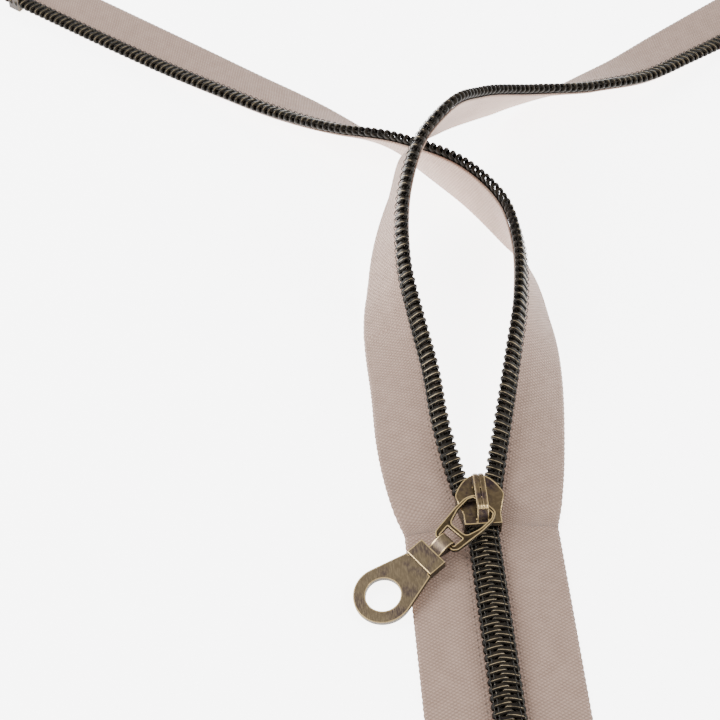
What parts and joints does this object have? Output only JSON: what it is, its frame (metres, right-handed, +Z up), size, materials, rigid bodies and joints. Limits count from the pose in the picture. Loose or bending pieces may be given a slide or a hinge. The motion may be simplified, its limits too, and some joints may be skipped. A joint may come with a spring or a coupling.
{
  "type": "zipper",
  "caption": "Nylon coil zipper half opened, its two woven tapes curling up and crossing above a cast slider with a swinging link and a ring-ended pull.",
  "frame": {"origin": "on the table under the middle of the slider, where its bottom plate rests", "axes": "+Z up from the table, +Y from the closed chain through the slider towards the two open halves, +X to the right-hand tape"},
  "size_m": [0.2203, 0.2527, 0.0309],
  "materials": {
    "tape": "fine woven polyester, matt",
    "coil": "glossy near-black nylon filament",
    "cord": "matt twisted cord",
    "thread": "dull sewing thread",
    "antique_brass": "antique brass plate, dark in the hollows and worn bright on the edges"
  },
  "bodies": {
    "chain": {"left_tape": "tape", "left_coil": "coil", "left_core_cord": "cord", "left_inner_stitching": "thread", "left_outer_stitching": "thread", "left_top_stop": "antique_brass", "right_tape": "tape", "right_coil": "coil", "right_core_cord": "cord", "right_inner_stitching": "thread", "right_outer_stitching": "thread", "right_top_stop": "antique_brass", "bottom_stop": "antique_brass"},
    "slider": {"slider_body": "antique_brass"},
    "link": {"pull_link": "antique_brass"},
    "pull": {"pull_bail": "antique_brass", "pull_collar": "antique_brass", "pull_tab": "antique_brass"}
  },
  "joints": [
    {"name": "slider_run", "type": "slide", "parent": "chain", "child": "slider", "axis": [0, 1, 0], "range_m": [-0.0455, 0], "deforming": ["left_tape", "right_tape", "left_coil", "right_coil", "left_core_cord", "right_core_cord", "left_inner_stitching", "right_inner_stitching", "left_outer_stitching", "right_outer_stitching"]},
    {"name": "link_swing", "type": "hinge", "parent": "slider", "child": "link", "pos_m": [0, -0.0012, 0.00595], "axis": [-0.6428, 0.766, 0], "range_deg": [0, 95]},
    {"name": "pull_swing", "type": "hinge", "parent": "link", "child": "pull", "pos_m": [-0.00758, -0.00861, 0.00428], "axis": [-0.6428, 0.766, 0], "range_deg": [0, 100]}
  ]
}
